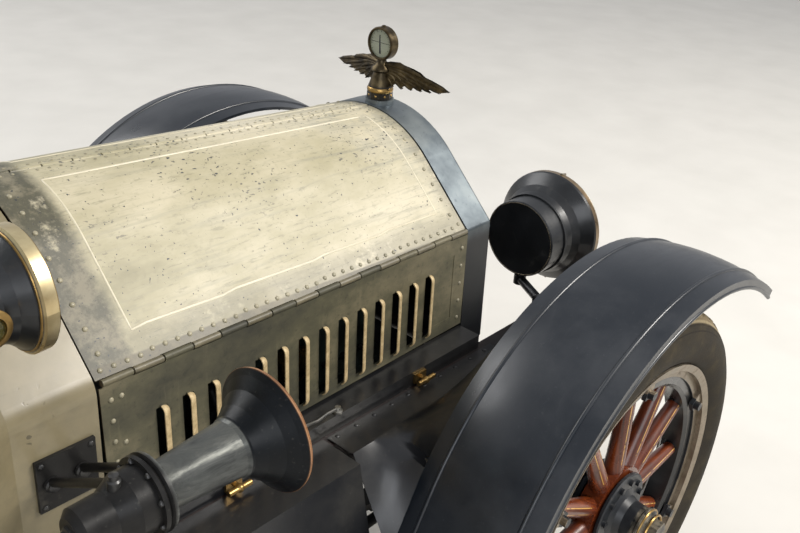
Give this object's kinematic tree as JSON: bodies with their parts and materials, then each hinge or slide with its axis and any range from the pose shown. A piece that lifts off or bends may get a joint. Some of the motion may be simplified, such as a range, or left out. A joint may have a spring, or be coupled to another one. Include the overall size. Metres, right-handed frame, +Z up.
{
  "type": "open touring car",
  "caption": "Early open touring car with wooden spoke wheels, a louvred folding bonnet, side doors, flared wings, running boards and a bell horn.",
  "frame": {"origin": "on the ground under the middle of the overall box", "axes": "+X forward, +Y to the car's left, +Z up"},
  "size_m": [4.702, 1.695, 1.6887],
  "materials": {
    "tyre": "dusty rubber",
    "wheel_wood": "varnished",
    "wheel_metal": "worn plating",
    "frame_paint": "satin dark red",
    "dark_iron": "oily",
    "black_enamel": "satin",
    "hood_cream": "worn and scratched",
    "hood_side_paint": "worn patina",
    "shell_grey": "satin",
    "core_metal": "blackened",
    "brass": "dulled",
    "wood": "oiled",
    "body_paint": "worn",
    "leather": "buttoned",
    "glass": "clear",
    "steel": "worn"
  },
  "bodies": {
    "car": {"chassis_frame": "frame_paint", "leaf_springs": "frame_paint", "front_axle": "frame_paint", "rear_axle": "frame_paint", "engine_block": "dark_iron", "gearbox": "dark_iron", "exhaust": "dark_iron", "fuel_tank": "black_enamel", "mud_pans": "black_enamel", "steering_column": "dark_iron", "radiator_shell": "shell_grey", "radiator_core": "core_metal", "radiator_cap": "brass", "hood_hinge_rod": "black_enamel", "hood_sills": "black_enamel", "hood_catches": "steel", "cowl": "body_paint", "firewall": "wood", "body_tub": "body_paint", "floorboards": "wood", "front_seat_cushions": "leather", "rear_seat_cushions": "leather", "windshield_frame": "brass", "glass": "glass", "front_fenders": "black_enamel", "rear_fenders": "black_enamel", "running_boards": "wood", "splash_aprons": "black_enamel", "lamps": "black_enamel", "horn": "black_enamel", "levers_and_pedals": "steel"},
    "front_left_wheel": {"front_left_tyre": "tyre", "front_left_spokes": "wheel_wood", "front_left_rim_and_hub": "wheel_metal"},
    "front_right_wheel": {"front_right_tyre": "tyre", "front_right_spokes": "wheel_wood", "front_right_rim_and_hub": "wheel_metal"},
    "rear_left_wheel": {"rear_left_tyre": "tyre", "rear_left_spokes": "wheel_wood", "rear_left_rim_and_hub": "wheel_metal"},
    "rear_right_wheel": {"rear_right_tyre": "tyre", "rear_right_spokes": "wheel_wood", "rear_right_rim_and_hub": "wheel_metal"},
    "left_knuckle": {"left_knuckle": "dark_iron"},
    "right_knuckle": {"right_knuckle": "dark_iron"},
    "tie_rod": {"tie_rod": "dark_iron"},
    "drag_link": {"drag_link": "dark_iron"},
    "drop_arm": {"drop_arm": "dark_iron"},
    "steering_wheel": {"steering_wheel": "wood"},
    "hood_top_left": {"hood_top_left": "hood_cream"},
    "hood_top_right": {"hood_top_right": "hood_cream"},
    "hood_side_left": {"hood_side_left": "hood_side_paint"},
    "hood_side_right": {"hood_side_right": "hood_side_paint"},
    "front_door_left": {"front_door_left": "body_paint"},
    "front_door_right": {"front_door_right": "body_paint"},
    "rear_door_left": {"rear_door_left": "body_paint"},
    "rear_door_right": {"rear_door_right": "body_paint"}
  },
  "joints": [
    {"name": "right_steer", "type": "hinge", "parent": "car", "child": "right_knuckle", "pos_m": [1.769, -0.618, 0.47], "axis": [0, 0, 1], "range_deg": [-24, 24]},
    {"name": "left_steer", "type": "hinge", "parent": "car", "child": "left_knuckle", "pos_m": [1.769, 0.618, 0.47], "axis": [0, 0, 1], "range_deg": [-24, 24]},
    {"name": "front_left_roll", "type": "hinge", "parent": "left_knuckle", "child": "front_left_wheel", "pos_m": [1.769, 0.7175, 0.47], "axis": [0, 1, 0], "continuous": true},
    {"name": "front_right_roll", "type": "hinge", "parent": "right_knuckle", "child": "front_right_wheel", "pos_m": [1.769, -0.7175, 0.47], "axis": [0, 1, 0], "continuous": true},
    {"name": "rear_left_roll", "type": "hinge", "parent": "car", "child": "rear_left_wheel", "pos_m": [-1.631, 0.7175, 0.47], "axis": [0, 1, 0], "continuous": true},
    {"name": "rear_right_roll", "type": "hinge", "parent": "car", "child": "rear_right_wheel", "pos_m": [-1.631, -0.7175, 0.47], "axis": [0, 1, 0], "continuous": true},
    {"name": "tie_rod_end", "type": "hinge", "parent": "right_knuckle", "child": "tie_rod", "pos_m": [1.619, -0.618, 0.3915], "axis": [0, 0, 1], "range_deg": [-24, 24]},
    {"name": "drag_link_end", "type": "hinge", "parent": "right_knuckle", "child": "drag_link", "pos_m": [1.769, -0.458, 0.5545], "axis": [0, 0, 1], "range_deg": [-24, 24]},
    {"name": "drop_arm_swing", "type": "hinge", "parent": "car", "child": "drop_arm", "pos_m": [0.904, -0.413, 0.7145], "axis": [0, 1, 0], "range_deg": [-24, 24]},
    {"name": "steering_wheel_turn", "type": "hinge", "parent": "car", "child": "steering_wheel", "pos_m": [0.119, -0.262, 1.215], "axis": [-0.8432, 0, 0.5376], "range_deg": [-216, 216]},
    {"name": "hood_lift_left", "type": "hinge", "parent": "car", "child": "hood_top_left", "pos_m": [0.822, 0, 1.2402], "axis": [0.9986, 0, -0.052], "range_deg": [0, 50]},
    {"name": "hood_lift_right", "type": "hinge", "parent": "car", "child": "hood_top_right", "pos_m": [0.822, 0, 1.2402], "axis": [-0.9986, 0, 0.052], "range_deg": [0, 50]},
    {"name": "hood_fold_left", "type": "hinge", "parent": "hood_top_left", "child": "hood_side_left", "pos_m": [0.822, 0.3235, 1.0225], "axis": [0.9996, -0.0158, -0.0249], "range_deg": [0, 120]},
    {"name": "hood_fold_right", "type": "hinge", "parent": "hood_top_right", "child": "hood_side_right", "pos_m": [0.822, -0.3235, 1.0225], "axis": [-0.9996, -0.0158, 0.0249], "range_deg": [0, 120]},
    {"name": "front_door_left_swing", "type": "hinge", "parent": "car", "child": "front_door_left", "pos_m": [0.224, 0.54294, 1], "axis": [0, 0, -1], "range_deg": [0, 70]},
    {"name": "front_door_right_swing", "type": "hinge", "parent": "car", "child": "front_door_right", "pos_m": [0.224, -0.54294, 1], "axis": [0, 0, 1], "range_deg": [0, 70]},
    {"name": "rear_door_left_swing", "type": "hinge", "parent": "car", "child": "rear_door_left", "pos_m": [-0.671, 0.581, 1], "axis": [0, 0, -1], "range_deg": [0, 70]},
    {"name": "rear_door_right_swing", "type": "hinge", "parent": "car", "child": "rear_door_right", "pos_m": [-0.671, -0.581, 1], "axis": [0, 0, 1], "range_deg": [0, 70]}
  ],
  "couplings": [
    {"joint": "left_steer", "follows": "right_steer", "ratio": 1},
    {"joint": "tie_rod_end", "follows": "right_steer", "ratio": -1},
    {"joint": "drag_link_end", "follows": "right_steer", "ratio": -1},
    {"joint": "drop_arm_swing", "follows": "right_steer", "ratio": 1},
    {"joint": "steering_wheel_turn", "follows": "right_steer", "ratio": 9}
  ]
}
